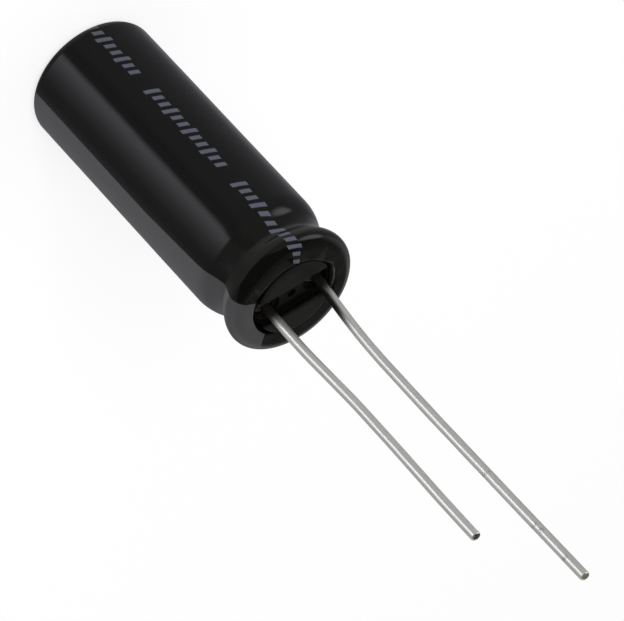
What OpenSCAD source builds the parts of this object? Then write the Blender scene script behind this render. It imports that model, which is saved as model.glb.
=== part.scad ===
// Radial electrolytic capacitor: a drawn can in a shrunk sleeve, closed by a rubber bung.
// It stands on the flat top of its can, with its leads up. All sizes are in millimetres.

/* [Can] */
// Outside diameter of the bare can
can_d = 8.0; // [6.4:0.1:10]
// Thickness of the drawn metal
can_wall = 0.3; // [0.2:0.05:0.35]
// Outside radius where the side meets the flat top
can_corner_r = 0.53; // [0.4:0.01:0.9]
// Length over the sleeve, from the flat top to the rolled rim
body_len = 21.35; // [16:0.05:32]

/* [Groove and bead] */
// Depth of the groove that is rolled into the side of the can
groove_depth = 0.48; // [0.3:0.02:0.6]
// Length of the slope from the plain side to the bottom of the groove
shoulder_len = 2.1; // [1.8:0.05:2.4]
// Radius where the plain side turns into that slope
shoulder_r = 2.85; // [2:0.05:3]
// Length from the bottom of the groove to the crest of the bead
bead_rise = 1.5; // [1.3:0.05:1.7]
// Radius of the bead on its groove side
bead_r = 1.08; // [0.8:0.02:1.1]
// How far the crest of the bead stands out past the side of the can
bead_out = 0.02; // [0:0.01:0.1]
// Outside radius of the rim, where it turns in over the bung
rim_r = 0.55; // [0.5:0.01:0.7]
// Outside radius of the rim's edge, which is turned down into the rubber
curl_r = 0.45; // [0.4:0.01:0.48]

/* [Sleeve] */
// Thickness of the shrunk film
sleeve_t = 0.14; // [0.1:0.01:0.2]
// Space between the film and the can
sleeve_gap = 0.01; // [0.01:0.01:0.03]
// Width of the ring of film that is shrunk over the rim
lip_ring = 1.37; // [1.3:0.01:1.5]
// How far the film reaches past the rim's turned-down edge
lip_cover = 0.05; // [0.02:0.01:0.1]
// Width of the ring of film that is shrunk over the flat top
top_ring = 1.15; // [0.8:0.05:2]

/* [Vent] */
// Length of each stroke of the cross that is scored in the flat top
vent_len = 4.6; // [3:0.1:5]
// Width of the score
vent_w = 0.25; // [0.15:0.05:0.4]
// Depth of the score
vent_depth = 0.15; // [0.05:0.01:0.18]

/* [Bung] */
// Gap between the raised pads and the lip of the sleeve
pad_gap = 0.25; // [0.15:0.05:0.4]
// How far the pads stand out past the sleeve
pad_proud = 0.15; // [0:0.05:0.3]
// Rounding of the outer edge of the pads
pad_round = 0.15; // [0.05:0.05:0.3]
// Width of the channel between the pads, in which the leads come out
channel_w = 2.0; // [1.8:0.05:2.2]
// Depth of the channel below the pads
channel_depth = 0.5; // [0.3:0.05:0.6]
// How much wider the mouth of each hole is than the hole, on each side
mouth_step = 0.15; // [0.12:0.01:0.18]
// Depth of the mouths below the floor of the channel
mouth_depth = 0.3; // [0.1:0.05:0.4]
// How far the middle of a mouth lies from the middle of its hole, towards the ring
mouth_in = 0.1; // [0.05:0.01:0.1]
// Diameter of the small moulded ring in the middle of the channel
ring_d = 0.84; // [0.6:0.02:1]
// Height of that ring
ring_h = 0.06; // [0.04:0.01:0.1]
// Diameter of the dimple inside the ring
dimple_d = 0.54; // [0.3:0.02:0.58]
// Depth of the dimple below the floor of the channel
dimple_depth = 0.3; // [0.1:0.05:0.6]

/* [Leads] */
// Diameter of the wires
lead_d = 0.6; // [0.5:0.05:0.7]
// Length of the short wire past the sleeve
cathode_len = 19.95; // [14:0.05:30]
// Length of the long wire past the sleeve
anode_len = 25.75; // [18:0.05:35]
// How far past the sleeve the short wire straightens
cathode_bend = 7.95; // [4:0.05:10]
// How far past the sleeve the long wire bends back
anode_bend = 6.85; // [4:0.05:10]
// How far the short wire leans in before it straightens
cathode_lean = 0.08; // [0:0.02:0.5]
// How far the long wire leans in before it bends back
anode_lean = 0.5; // [0:0.02:0.6]
// How far in the tip of the long wire still lies
anode_tip_lean = 0.35; // [0:0.05:0.6]
// How far the wire swells where it is bent
knee_swell = 0.01; // [0.005:0.005:0.03]

/* [Tabs] */
// Diameter of the round stub that fills the hole through the bung
stub_d = 1.3; // [1.1:0.05:1.4]
// Depth of the end of the stub below the floor of the channel
stub_sunk = 0.45; // [0.44:0.05:0.8]
// Length of the stub that shows below the bung
stub_below = 0.5; // [0.3:0.05:0.8]
// Radius of the welded bead between stub and wire
weld_r = 0.42; // [0.38:0.01:0.44]
// Width of the flattened part that lies in the winding
tab_w = 1.6; // [1.2:0.1:1.8]
// Thickness of the flattened part
tab_t = 0.2; // [0.15:0.01:0.25]
// How far the flattened part stops short of the lower edge of the foil
tab_short = 1; // [0.5:0.1:4]

/* [Winding] */
// Radius of the hollow core that the winding pin leaves
core_r = 0.7; // [0.6:0.05:0.8]
// Thickness of the etched anode foil
anode_foil_t = 0.1; // [0.08:0.01:0.12]
// Thickness of the cathode foil
cathode_foil_t = 0.05; // [0.03:0.01:0.06]
// Thickness of the paper
paper_t = 0.05; // [0.03:0.01:0.06]
// Thickness of the closing tape
tape_t = 0.05; // [0.03:0.01:0.06]
// Space between neighbouring sheets
sheet_gap = 0.01; // [0.005:0.005:0.02]
// Least space between the winding and the side of the can
winding_gap = 0.06; // [0.03:0.01:0.3]
// Free height between the winding and the bung
head_room = 1.15; // [0.8:0.05:2]
// How far the paper stands out past the foils at each end
paper_margin = 0.6; // [0.4:0.1:1]
// How far the closing tape stops short of the ends of the paper
tape_margin = 3; // [1:0.1:4]

/* [Hidden] */
$fn = 96;
arc_steps = 8;
spare = 0.5;                               // how far a cutter reaches past what it cuts

can_r = can_d / 2;
sleeve_out = sleeve_gap + sleeve_t;        // from the face of the can to the face of the sleeve
can_z = sleeve_out;                        // the flat top lies this far off the floor
inside_z = can_z + can_wall;
bead_z = body_len - sleeve_out - rim_r;    // crest of the bead
groove_z = bead_z - bead_rise;             // bottom of the groove
shoulder_z = groove_z - shoulder_len;      // end of the plain side, and inner face of the bung
groove_floor_r = can_r - groove_depth;
bead_crest_r = can_r + bead_out;
shoulder_turn = 2 * atan(groove_depth / shoulder_len);
bead_turn = 2 * atan((bead_crest_r - groove_floor_r) / bead_rise);
low_hollow_r = shoulder_len / sin(shoulder_turn) - shoulder_r;
high_hollow_r = bead_rise / sin(bead_turn) - bead_r;
lip_r = bead_crest_r + sleeve_out - lip_ring;
curl_x = lip_r + lip_cover + curl_r;
curl_z = bead_z + rim_r - curl_r;

pad_r = lip_r - pad_gap;
pad_z = body_len + pad_proud;
channel_z = pad_z - channel_depth;
stub_z = channel_z - stub_sunk;

// The usual distance between the leads for a can of this diameter.
lead_pitch = can_d < 7.6 ? 2.5 : can_d < 9 ? 3.5 : 5;
lead_x = lead_pitch / 2;

// One turn holds paper, anode foil, paper and cathode foil, from the inside out.
sheet_ts = [paper_t, anode_foil_t, paper_t, cathode_foil_t];
function sheet_offset(sheet) =
    sheet == 0 ? 0 : sheet_offset(sheet - 1) + sheet_ts[sheet - 1] + sheet_gap;
turn_pitch = sheet_offset(3) + cathode_foil_t + sheet_gap;
tab_room = tab_t + sheet_gap;
winding_r = can_r - can_wall - winding_gap;
turns = floor((winding_r - core_r - tab_room - paper_t - sheet_gap - tape_t) / turn_pitch) - 1;
half_turns = 2 * turns;
foil_turn = floor((lead_x - core_r - sheet_offset(2)) / turn_pitch);
anode_tab_turn = 2 * foil_turn + 1;        // counted in half turns from the core
cathode_tab_turn = 2 * foil_turn;
// The winding stands clear of the round inside corner of the can.
corner_in_r = can_corner_r - can_wall;
winding_z = inside_z + corner_in_r - sqrt(corner_in_r ^ 2 - (corner_in_r - winding_gap) ^ 2);
foil_z = winding_z + paper_margin;
paper_h = shoulder_z - head_room - winding_z;
foil_h = paper_h - 2 * paper_margin;

// Points along an arc, from angle a to angle b. A following arc skips its first point.
function arc(centre, r, a, b, skip = 0) =
    [for (i = [skip:arc_steps]) let (t = a + (b - a) * i / arc_steps)
        centre + r * [cos(t), sin(t)]];

function reversed(points) = [for (i = [len(points) - 1:-1:0]) points[i]];

// The corner at the flat top, moved outwards by out.
function corner_edge(out) =
    arc([can_r - can_corner_r, can_z + can_corner_r], can_corner_r + out, -90, 0);

// Shoulder, groove, bead and rolled rim, moved outwards by out. Film, can and rubber follow it.
function neck_edge(out) = concat(
    arc([can_r - shoulder_r, shoulder_z], shoulder_r + out, 0, shoulder_turn),
    arc([groove_floor_r + low_hollow_r, groove_z], low_hollow_r - out, 180 + shoulder_turn, 180, 1),
    arc([groove_floor_r + high_hollow_r, groove_z], high_hollow_r - out, 180, 180 - bead_turn, 1),
    arc([bead_crest_r - bead_r, bead_z], bead_r + out, -bead_turn, 0, 1),
    arc([bead_crest_r - rim_r, bead_z], rim_r + out, 0, 90, 1));

// The rim's turned-down edge, from its top down to its end.
function curl_edge(r) = arc([curl_x, curl_z], r, 90, 180);

module sleeve() {
    ring_r = can_r + sleeve_out - top_ring;
    color([0.09, 0.09, 0.1])
    rotate_extrude()
    polygon(concat(
        [[ring_r, 0]],
        corner_edge(sleeve_out), neck_edge(sleeve_out),
        [[lip_r, body_len], [lip_r, body_len - sleeve_t]],
        reversed(neck_edge(sleeve_gap)), reversed(corner_edge(sleeve_gap)),
        [[ring_r, sleeve_t]]));
}

module can() {
    color([0.78, 0.79, 0.8])
    difference() {
        rotate_extrude()
        polygon(concat(
            [[0, can_z]],
            corner_edge(0), neck_edge(0), curl_edge(curl_r),
            reversed(curl_edge(curl_r - can_wall)),
            reversed(neck_edge(-can_wall)), reversed(corner_edge(-can_wall)),
            [[0, inside_z]]));
        vent_score();
    }
}

// A cross that lets the flat top tear open under pressure.
module vent_score() {
    for (turn = [45, 135])
        rotate(turn)
        translate([-vent_len / 2, -vent_w / 2, can_z - spare])
        cube([vent_len, vent_w, spare + vent_depth]);
}

module bung() {
    color([0.2, 0.2, 0.2]) {
        difference() {
            rotate_extrude()
            polygon(concat(
                [[0, shoulder_z]],
                neck_edge(-can_wall), curl_edge(curl_r - can_wall),
                [[curl_x - curl_r, curl_z], [pad_r, curl_z]],
                arc([pad_r - pad_round, pad_z - pad_round], pad_round, 0, 90),
                [[0, pad_z]]));
            translate([-can_r, -channel_w / 2, channel_z])
            cube([can_d, channel_w, channel_depth + spare]);
            for (side = [-1, 1]) {
                translate([side * lead_x, 0, shoulder_z - spare])
                cylinder(d = stub_d, h = channel_z - shoulder_z + 2 * spare);
                translate([side * (lead_x - mouth_in), 0, channel_z - mouth_depth])
                cylinder(d = stub_d + 2 * mouth_step, h = mouth_depth + spare);
            }
            translate([0, 0, channel_z - dimple_depth])
            cylinder(d = ring_d, h = dimple_depth + spare);
        }
        moulded_ring();
    }
}

// The ring stands in the middle of the channel, with the dimple inside it.
module moulded_ring() {
    translate([0, 0, channel_z - dimple_depth])
    difference() {
        cylinder(d = ring_d, h = dimple_depth + ring_h);
        translate([0, 0, -spare])
        cylinder(d = dimple_d, h = dimple_depth + ring_h + 2 * spare);
    }
}

// A wire through points [x, z]. Each inner point is a knee that swells a hair past the wire,
// so that the runs end inside it.
module wire(points) {
    for (i = [1:len(points) - 1]) {
        run = points[i] - points[i - 1];
        translate([points[i - 1][0], 0, points[i - 1][1]]) {
            rotate([0, atan2(run[0], run[1]), 0])
            cylinder(d = lead_d, h = norm(run));
            if (i > 1)
                sphere(d = lead_d + 2 * knee_swell);
        }
    }
}

// side is 1 on the cathode's side and -1 on the anode's.
module lead(side, bend, lean, length, tip_lean) {
    color([0.72, 0.72, 0.7])
    wire([[side * lead_x, stub_z],
          [side * lead_x, channel_z],
          [side * (lead_x - lean), body_len + bend],
          [side * (lead_x - tip_lean), body_len + length]]);
}

module anode_lead() {
    lead(-1, anode_bend, anode_lean, anode_len, anode_tip_lean);
}

module cathode_lead() {
    lead(1, cathode_bend, cathode_lean, cathode_len, cathode_lean);
}

// Half a bead round the foot of the wire, where it is butt-welded to the stub.
module weld(side) {
    color([0.5, 0.5, 0.5])
    translate([side * lead_x, 0, stub_z])
    difference() {
        sphere(r = weld_r);
        translate([-weld_r - spare, -weld_r - spare, -weld_r - spare])
        cube([2 * (weld_r + spare), 2 * (weld_r + spare), weld_r + spare]);
        translate([0, 0, -spare])
        cylinder(d = lead_d, h = weld_r + 2 * spare);
    }
}

module anode_weld() {
    weld(-1);
}

module cathode_weld() {
    weld(1);
}

// Distance from the axis to the inner face of a sheet, at the end of a half turn.
// Even half turns end on the cathode's side, odd ones on the anode's. Sheets outside a tab
// make room for it on its own side.
function sheet_r(sheet, half) =
    core_r + sheet_offset(sheet) + half * turn_pitch / 2
    + (half % 2 == 0 ? (2 * half + sheet > 2 * cathode_tab_turn + 3 ? tab_room : 0)
                     : (2 * half + sheet > 2 * anode_tab_turn + 1 ? tab_room : 0));

// Half a ring whose inner face lies start_r from the axis at one end and end_r at the other,
// so that it meets the next half ring face to face.
module half_ring(half, start_r, end_r, t) {
    side = half % 2 == 0 ? 1 : -1;
    r = (start_r + end_r) / 2;
    reach = end_r + t + spare;
    intersection() {
        translate([side * (start_r - end_r) / 2, 0])
        difference() {
            circle(r = r + t);
            circle(r = r);
        }
        translate([-reach, side > 0 ? 0 : -reach])
        square([2 * reach, reach]);
    }
}

// One sheet of the winding, from one half turn to another, as a single solid.
module spiral(sheet, from, to, t, z, h) {
    translate([0, 0, z])
    linear_extrude(h)
    for (half = [from:to - 1])
        half_ring(half, sheet_r(sheet, half), sheet_r(sheet, half + 1), t);
}

module anode_foil() {
    color([0.55, 0.56, 0.58])
    spiral(1, 0, half_turns, anode_foil_t, foil_z, foil_h);
}

module cathode_foil() {
    color([0.75, 0.76, 0.78])
    spiral(3, 0, half_turns, cathode_foil_t, foil_z, foil_h);
}

// The inner paper starts the winding and goes once more round its outside.
module inner_paper() {
    color([0.9, 0.86, 0.74])
    spiral(0, 0, half_turns + 2, paper_t, winding_z, paper_h);
}

module outer_paper() {
    color([0.9, 0.86, 0.74])
    spiral(2, 0, half_turns, paper_t, winding_z, paper_h);
}

module element_tape() {
    tape_offset = paper_t + sheet_gap;
    color([0.8, 0.65, 0.3])
    translate([0, 0, winding_z + tape_margin])
    linear_extrude(paper_h - 2 * tape_margin)
    for (half = [half_turns, half_turns + 1])
        half_ring(half, sheet_r(0, half) + tape_offset, sheet_r(0, half + 1) + tape_offset, tape_t);
}

// A tab: a blade pressed on its foil inside the winding, and a round stub through the bung.
module tab(sheet, half) {
    side = half % 2 == 0 ? 1 : -1;
    skin = sheet_ts[sheet] + sheet_gap;
    blade_z = foil_z + tab_short;
    color([0.8, 0.81, 0.82]) {
        translate([0, 0, blade_z])
        linear_extrude(shoulder_z - stub_below / 2 - blade_z)
        intersection() {
            for (h = [half - 1, half])
                half_ring(h, sheet_r(sheet, h) + skin, sheet_r(sheet, h + 1) + skin,
                          tab_t - sheet_gap);
            translate([side > 0 ? 0 : -can_r, -tab_w / 2])
            square([can_r, tab_w]);
        }
        translate([side * lead_x, 0, shoulder_z - stub_below])
        cylinder(d = stub_d, h = stub_z - shoulder_z + stub_below);
    }
}

module anode_tab() {
    tab(1, anode_tab_turn);
}

module cathode_tab() {
    tab(3, cathode_tab_turn);
}

sleeve();
can();
bung();
anode_lead();
cathode_lead();
anode_weld();
cathode_weld();
anode_tab();
cathode_tab();
anode_foil();
cathode_foil();
inner_paper();
outer_paper();
element_tape();
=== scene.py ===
import math

import bmesh
import bpy
from mathutils import Matrix, Vector, noise


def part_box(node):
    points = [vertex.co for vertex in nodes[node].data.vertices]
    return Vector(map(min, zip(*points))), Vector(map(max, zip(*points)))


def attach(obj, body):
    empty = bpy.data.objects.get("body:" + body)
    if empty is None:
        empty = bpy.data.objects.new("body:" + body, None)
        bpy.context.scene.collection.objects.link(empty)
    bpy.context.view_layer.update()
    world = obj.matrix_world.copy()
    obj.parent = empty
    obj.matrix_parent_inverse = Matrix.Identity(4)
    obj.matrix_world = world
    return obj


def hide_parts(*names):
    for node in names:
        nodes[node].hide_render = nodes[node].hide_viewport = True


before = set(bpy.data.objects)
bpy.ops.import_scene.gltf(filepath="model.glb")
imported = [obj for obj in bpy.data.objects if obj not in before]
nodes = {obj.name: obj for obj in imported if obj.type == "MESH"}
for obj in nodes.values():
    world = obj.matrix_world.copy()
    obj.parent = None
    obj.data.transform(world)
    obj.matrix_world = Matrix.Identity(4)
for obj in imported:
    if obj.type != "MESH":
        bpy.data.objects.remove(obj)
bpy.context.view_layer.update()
scene = bpy.context.scene
scene.view_settings.view_transform = "Standard"
MM = 0.001

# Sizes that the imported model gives


def node_box(node):
    """A CAD node's lowest and highest corners, in millimetres."""
    return [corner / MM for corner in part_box(node)]


BODY_LEN = node_box("sleeve")[1].z
BEAD_CREST_R = node_box("can")[1].x
FILM_OUT = node_box("can")[0].z
PAD_Z = node_box("bung")[1].z
WIRE_FOOT_Z = node_box("cathode_lead")[0].z
SHORT_TIP_Z = node_box("cathode_lead")[1].z

# Sizes repeated from the part's source

CAN_CORNER_R = 0.53
GROOVE_DEPTH = 0.48
SHOULDER_LEN = 2.1
SHOULDER_R = 2.85
BEAD_RISE = 1.5
BEAD_R = 1.08
BEAD_OUT = 0.02
RIM_R = 0.55
FILM_T = 0.14
LIP_RING = 1.37
TOP_RING = 1.15
LEAD_R = 0.3
LEAD_X = 1.75
WIRE_EXIT_Z = 21.0
LONG_WIRE_LEN = 25.75

FILM_GAP = FILM_OUT - FILM_T
CAN_R = BEAD_CREST_R - BEAD_OUT
CAN_Z = FILM_OUT
FACE_R = CAN_R + FILM_OUT
RIM_MID_R = BEAD_CREST_R - RIM_R
BEAD_Z = BODY_LEN - FILM_OUT - RIM_R
GROOVE_Z = BEAD_Z - BEAD_RISE
SHOULDER_Z = GROOVE_Z - SHOULDER_LEN
GROOVE_FLOOR_R = CAN_R - GROOVE_DEPTH
SHOULDER_TURN = math.degrees(2 * math.atan(GROOVE_DEPTH / SHOULDER_LEN))
BEAD_TURN = math.degrees(2 * math.atan((BEAD_CREST_R - GROOVE_FLOOR_R) / BEAD_RISE))
LOW_HOLLOW_R = SHOULDER_LEN / math.sin(math.radians(SHOULDER_TURN)) - SHOULDER_R
HIGH_HOLLOW_R = BEAD_RISE / math.sin(math.radians(BEAD_TURN)) - BEAD_R
LIP_R = BEAD_CREST_R + FILM_OUT - LIP_RING
TOP_RING_R = FACE_R - TOP_RING

# The shrunk film's own shape, where it leaves the can: degrees are turned from the short lead

TAUT_AT = -54.0
TAUT_REACH = 34.0
SPAN_TILT = 18.5
SPAN_SHOULDER_R = 1.8
SPAN_CREASE_R = 3.69
SPAN_CREASE_Z = 19.35
SPAN_END_RISE = 0.25
FOLD_AT = -57.0
FOLD_REACH = 27.0
FOLD_WIDE = 44.0
FOLD_R = 4.195
FOLD_Z = 20.68
FOLD_BELOW = 0.3
FOLD_LEAN = 33.0
FOLD_NEAR = 0.605
FOLD_SOFT = 0.022

# How near the axis the film's open edge comes, by degrees round the can

LIP_RADII = ((0, 2.84), (35, 2.8), (55, 2.54), (125, 2.54), (150, 2.83), (195, 2.84), (212, 2.6),
             (225, 2.54), (262, 2.54), (275, 2.6), (298, 2.6), (310, 2.68), (322, 2.83),
             (360, 2.84))

# Places of the printing, in degrees round the can from the short lead's side

STRIPE_FROM = -22.5
STRIPE_WIDENS_Z = 12.0
STRIPE_NECK_FROM = -28.5
STRIPE_TO = 46.0
STRIPE_LIP_TO = 36.0
# Heights of the painted highlight on the stripe's ink at the neck
PAINTED_HIGHLIGHT_FROM_Z = 19.65
PAINTED_HIGHLIGHT_TO_Z = 20.25
MINUS_AT = 13.0
MINUS_HALF_TURN = 4.0
MINUS_STEP = 5.2
MINUS_SHIFT = 1.8
MINUS_FROM = 1.2
MINUS_TO = 3.6
MARKS_AT = -98.0
TALL_MARK_HIGH = 0.9
LOW_MARK_HIGH = 0.612
MARK_SLANT = 0.35
MARK_STEP = 0.64
MARK_WIDE = 0.33
MARK_GROUP_STEP = 8.9
MARK_GROUP_LEN = 7.55
MARK_FIRST_Z = -2.4
MARKS_PAST_RIM = 1.5

# Painted top light on the bung lies on faces above this height

TOP_LIGHT_FROM_Z = 20.2

# Nicks in the long wire: height above the floor and width

NICKS = ((37.9, 0.35), (42.5, 0.2), (42.95, 0.3), (45.3, 0.2))

# Painted dark reflection of the black body and bung: the heights where it has gone, and where it is
# still full, round the foot of both wires and on the long wire's inner side. LEAN gives how far
# that wire's middle moves in x per millimetre up, and LEAN_X its place at z = 0.

DARK_REFLECTION_FOOT = (BODY_LEN + 1.4, BODY_LEN + 0.4)
DARK_REFLECTION_SIDE = (BODY_LEN + 4.4, BODY_LEN + 2.2)
LEAN = 0.1
LEAN_X = -3.87

# Camera at the photograph's viewing angle

VIEW_AZIMUTH = math.radians(21)
VIEW_ELEVATION = math.radians(33)
VIEW_ROLL = math.radians(137.185)
VIEW_AIM = Vector((-0.161, -0.062, 22.825)) * MM
VIEW_DISTANCE = 292.57 * MM
VIEW_LENS = 298.85


def add_camera():
    """A long lens, turned about its own axis so that the leads point to the lower right."""
    data = bpy.data.cameras.new("photo_camera")
    data.lens = VIEW_LENS
    data.sensor_width = 36.0
    data.clip_start = 0.01
    data.clip_end = 20.0
    camera = bpy.data.objects.new("photo_camera", data)
    scene.collection.objects.link(camera)
    sin_a, cos_a = math.sin(VIEW_AZIMUTH), math.cos(VIEW_AZIMUTH)
    sin_e, cos_e = math.sin(VIEW_ELEVATION), math.cos(VIEW_ELEVATION)
    level_right = Vector((cos_a, sin_a, 0))
    level_up = Vector((-sin_a * sin_e, cos_a * sin_e, cos_e))
    back = Vector((sin_a * cos_e, -cos_a * cos_e, sin_e))
    right = level_right * math.cos(VIEW_ROLL) + level_up * math.sin(VIEW_ROLL)
    up = level_up * math.cos(VIEW_ROLL) - level_right * math.sin(VIEW_ROLL)
    turn = Matrix((right, up, back)).transposed().to_4x4()
    camera.matrix_world = Matrix.Translation(VIEW_AIM + back * VIEW_DISTANCE) @ turn
    scene.camera = camera


# Making shader nodes


def feed(tree, socket, value):
    """Links a socket to another one, or sets its own value."""
    if isinstance(value, bpy.types.NodeSocket):
        tree.links.new(value, socket)
    else:
        socket.default_value = value


def add_node(tree, kind, settings=None, **inputs):
    """A node with its settings and inputs. An input named _0 is the first socket, and so on."""
    node = tree.nodes.new(kind)
    for name, value in (settings or {}).items():
        setattr(node, name, value)
    for name, value in inputs.items():
        place = int(name[1:]) if name.startswith("_") else name.replace("_", " ")
        feed(tree, node.inputs[place], value)
    return node


def calc(tree, operation, *values):
    """The result of one sum."""
    node = tree.nodes.new("ShaderNodeMath")
    node.operation = operation
    for socket, value in zip(node.inputs, values):
        feed(tree, socket, value)
    return node.outputs[0]


def blend_colours(tree, amount, first, second, how="MIX"):
    """The first colour at 0, the second at 1, or the two multiplied."""
    node = tree.nodes.new("ShaderNodeMix")
    node.data_type = "RGBA"
    node.blend_type = how
    into = {socket.identifier: socket for socket in node.inputs}
    feed(tree, into["Factor_Float"], amount)
    feed(tree, into["A_Color"], first)
    feed(tree, into["B_Color"], second)
    return next(socket for socket in node.outputs if socket.identifier == "Result_Color")


def between(tree, value, low, high, soft):
    """1 where a value lies between two limits, with soft edges."""
    rise = add_node(tree, "ShaderNodeMapRange", {"interpolation_type": "SMOOTHSTEP"},
                    Value=value, From_Min=calc(tree, "SUBTRACT", low, soft),
                    From_Max=calc(tree, "ADD", low, soft)).outputs[0]
    fall = add_node(tree, "ShaderNodeMapRange", {"interpolation_type": "SMOOTHSTEP"},
                    Value=value, From_Min=calc(tree, "SUBTRACT", high, soft),
                    From_Max=calc(tree, "ADD", high, soft)).outputs[0]
    return calc(tree, "SUBTRACT", rise, fall)


def rise_to(tree, value, low, high):
    """A smooth rise from 0 at one value to 1 at the other, which may be the smaller one."""
    return add_node(tree, "ShaderNodeMapRange", {"interpolation_type": "SMOOTHSTEP"},
                    Value=value, From_Min=low, From_Max=high).outputs[0]


def place_in_mm(tree):
    """The point's place on the part, in millimetres."""
    place = tree.nodes.new("ShaderNodeTexCoord").outputs["Object"]
    return add_node(tree, "ShaderNodeVectorMath", {"operation": "SCALE"},
                    _0=place, Scale=1 / MM).outputs[0]


def new_group(name, inputs, outputs):
    """An empty shader group with named sockets; each input has its type and first value."""
    tree = bpy.data.node_groups.new(name, "ShaderNodeTree")
    for label, kind, value in inputs:
        socket = tree.interface.new_socket(name=label, in_out="INPUT", socket_type=kind)
        socket.default_value = value
    for label, kind in outputs:
        tree.interface.new_socket(name=label, in_out="OUTPUT", socket_type=kind)
    return tree, tree.nodes.new("NodeGroupInput"), tree.nodes.new("NodeGroupOutput")


def place_group(tree, group, **inputs):
    """One of the shared effects, with its own values."""
    node = tree.nodes.new("ShaderNodeGroup")
    node.node_tree = group
    for name, value in inputs.items():
        feed(tree, node.inputs[name.replace("_", " ")], value)
    return node


def noise_at(tree, place, size, detail=2.0):
    """Noise between 0 and 1 whose patches are about one size across."""
    scaled = add_node(tree, "ShaderNodeVectorMath", {"operation": "SCALE"},
                      _0=place, Scale=calc(tree, "DIVIDE", 1.0, size)).outputs[0]
    return add_node(tree, "ShaderNodeTexNoise", None,
                    Vector=scaled, Scale=1.0, Detail=detail).outputs[0]


# Effects that several materials use

FLOAT = "NodeSocketFloat"
COLOUR = "NodeSocketColor"
VECTOR = "NodeSocketVector"


def make_mottle():
    """Uneven colour and gloss: broad patches, and a fine grain that also gives the height."""
    tree, into, out = new_group(
        "mottle",
        [("Colour", COLOUR, (0.5, 0.5, 0.5, 1)), ("Spread", FLOAT, 0.1),
         ("Patch Size", FLOAT, 1.0), ("Grain Size", FLOAT, 0.1),
         ("Stretch", VECTOR, (1, 1, 1)), ("Roughness", FLOAT, 0.5),
         ("Roughness Spread", FLOAT, 0.1)],
        [("Colour", COLOUR), ("Roughness", FLOAT), ("Height", FLOAT)])
    place = add_node(tree, "ShaderNodeVectorMath", {"operation": "MULTIPLY"},
                     _0=place_in_mm(tree), _1=into.outputs["Stretch"]).outputs[0]
    patches = noise_at(tree, place, into.outputs["Patch Size"], 3.0)
    grain = noise_at(tree, place, into.outputs["Grain Size"], 2.0)
    both = calc(tree, "ADD", patches, grain)
    swing = calc(tree, "MULTIPLY", calc(tree, "SUBTRACT", both, 1.0), into.outputs["Spread"])
    light = calc(tree, "ADD", 1.0, swing)
    shade = add_node(tree, "ShaderNodeVectorMath", {"operation": "SCALE"},
                     _0=into.outputs["Colour"], Scale=light).outputs[0]
    feed(tree, out.inputs["Colour"], shade)
    rough = calc(tree, "MULTIPLY", calc(tree, "SUBTRACT", both, 1.0),
                 into.outputs["Roughness Spread"])
    feed(tree, out.inputs["Roughness"], calc(tree, "ADD", into.outputs["Roughness"], rough))
    feed(tree, out.inputs["Height"], grain)
    return tree


def make_hairlines():
    """Thin marks that all run one way, where the stretched noise is highest."""
    tree, into, out = new_group(
        "hairlines",
        [("Stretch", VECTOR, (1, 1, 0.1)), ("Width", FLOAT, 0.03), ("Share", FLOAT, 0.1)],
        [("Mask", FLOAT), ("Height", FLOAT)])
    place = add_node(tree, "ShaderNodeVectorMath", {"operation": "MULTIPLY"},
                     _0=place_in_mm(tree), _1=into.outputs["Stretch"]).outputs[0]
    lines = noise_at(tree, place, into.outputs["Width"], 1.0)
    top = calc(tree, "SUBTRACT", 0.72, calc(tree, "MULTIPLY", into.outputs["Share"], 0.4))
    mask = add_node(tree, "ShaderNodeMapRange", None, Value=lines, From_Min=top,
                    From_Max=calc(tree, "ADD", top, 0.08)).outputs[0]
    feed(tree, out.inputs["Mask"], mask)
    feed(tree, out.inputs["Height"], lines)
    return tree


def make_dust():
    """Small pale specks that lie on a surface."""
    tree, into, out = new_group(
        "dust",
        [("Colour", COLOUR, (0.5, 0.5, 0.5, 1)), ("Dust Colour", COLOUR, (0.4, 0.4, 0.38, 1)),
         ("Speck Size", FLOAT, 0.1), ("Share", FLOAT, 0.05), ("Strength", FLOAT, 0.5)],
        [("Colour", COLOUR), ("Mask", FLOAT)])
    place = place_in_mm(tree)
    specks = noise_at(tree, place, into.outputs["Speck Size"], 1.0)
    drifts = noise_at(tree, place, calc(tree, "MULTIPLY", into.outputs["Speck Size"], 14.0), 2.0)
    both = calc(tree, "ADD", specks, calc(tree, "MULTIPLY", drifts, 0.35))
    top = calc(tree, "SUBTRACT", 0.98, into.outputs["Share"])
    speck = add_node(tree, "ShaderNodeMapRange", None, Value=both, From_Min=top,
                     From_Max=calc(tree, "ADD", top, 0.06)).outputs[0]
    mask = calc(tree, "MULTIPLY", speck, into.outputs["Strength"])
    feed(tree, out.inputs["Mask"], mask)
    feed(tree, out.inputs["Colour"],
         blend_colours(tree, mask, into.outputs["Colour"], into.outputs["Dust Colour"]))
    return tree


def make_edge_rub():
    """Outer edges are rubbed paler, in broken patches."""
    tree, into, out = new_group(
        "edge_rub",
        [("Colour", COLOUR, (0.5, 0.5, 0.5, 1)), ("Rubbed Colour", COLOUR, (0.7, 0.7, 0.7, 1)),
         ("Start", FLOAT, 0.52), ("Full", FLOAT, 0.6), ("Strength", FLOAT, 0.5)],
        [("Colour", COLOUR)])
    edge = tree.nodes.new("ShaderNodeNewGeometry").outputs["Pointiness"]
    rise = add_node(tree, "ShaderNodeMapRange", None, Value=edge,
                    From_Min=into.outputs["Start"], From_Max=into.outputs["Full"]).outputs[0]
    breaks = noise_at(tree, place_in_mm(tree), 0.25, 2.0)
    mask = calc(tree, "MULTIPLY", calc(tree, "MULTIPLY", rise, breaks),
                calc(tree, "MULTIPLY", into.outputs["Strength"], 2.0))
    limited = calc(tree, "MINIMUM", mask, 1.0)
    feed(tree, out.inputs["Colour"],
         blend_colours(tree, limited, into.outputs["Colour"], into.outputs["Rubbed Colour"]))
    return tree


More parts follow.
